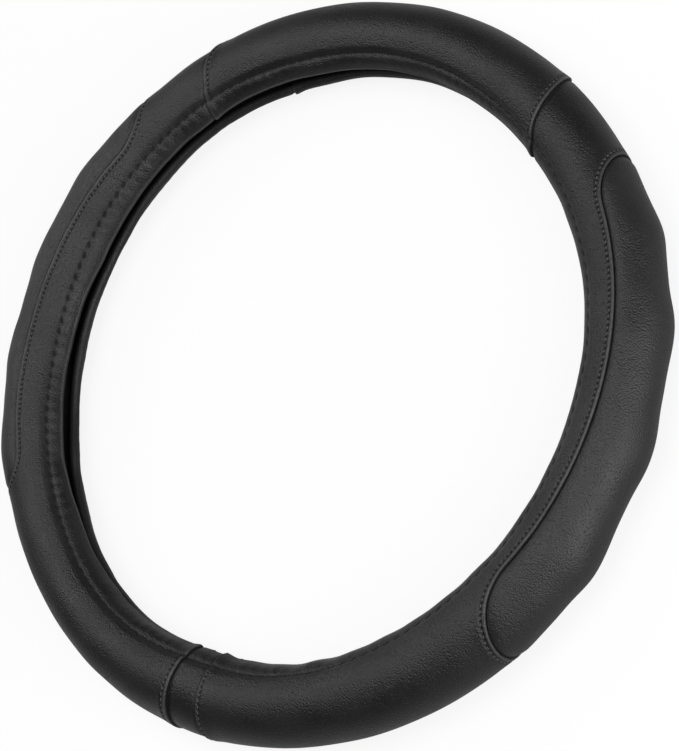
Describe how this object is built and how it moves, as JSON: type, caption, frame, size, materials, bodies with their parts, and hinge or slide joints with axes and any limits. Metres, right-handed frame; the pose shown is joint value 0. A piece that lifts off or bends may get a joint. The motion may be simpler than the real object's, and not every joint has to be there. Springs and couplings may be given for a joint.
{
  "type": "steering wheel cover",
  "caption": "Sewn leather cover for a car's steering wheel: a soft ring with panels, grip inserts with finger rests, and an inner slot that takes the wheel's rim.",
  "frame": {"origin": "middle of the ring, on the surface that the cover lies on, within 1 mm of the bottom centre of its box", "axes": "+Z along the wheel's axis towards the driver, +Y to the top of the wheel, +X to the driver's right"},
  "size_m": [0.3937, 0.3908, 0.0398],
  "materials": {
    "smooth_leather": "black, fine pebbled grain, satin",
    "grip_leather": "black, fine pebbled grain, a little duller",
    "ring_rubber": "black, matte, moulded",
    "pad_foam": "black closed-cell foam, matte",
    "thread_polyester": "black bonded sewing thread"
  },
  "bodies": {
    "root": {"inner_ring": "ring_rubber", "top_panel": "smooth_leather", "left_panel": "smooth_leather", "right_panel": "smooth_leather", "bottom_patch": "smooth_leather", "left_insert": "grip_leather", "right_insert": "grip_leather", "left_grip_pad": "pad_foam", "right_grip_pad": "pad_foam", "top_left_thread": "thread_polyester", "top_right_thread": "thread_polyester", "bottom_left_thread": "thread_polyester", "bottom_right_thread": "thread_polyester", "left_insert_thread": "thread_polyester", "right_insert_thread": "thread_polyester", "front_hem_thread": "thread_polyester", "back_hem_thread": "thread_polyester"}
  },
  "joints": []
}
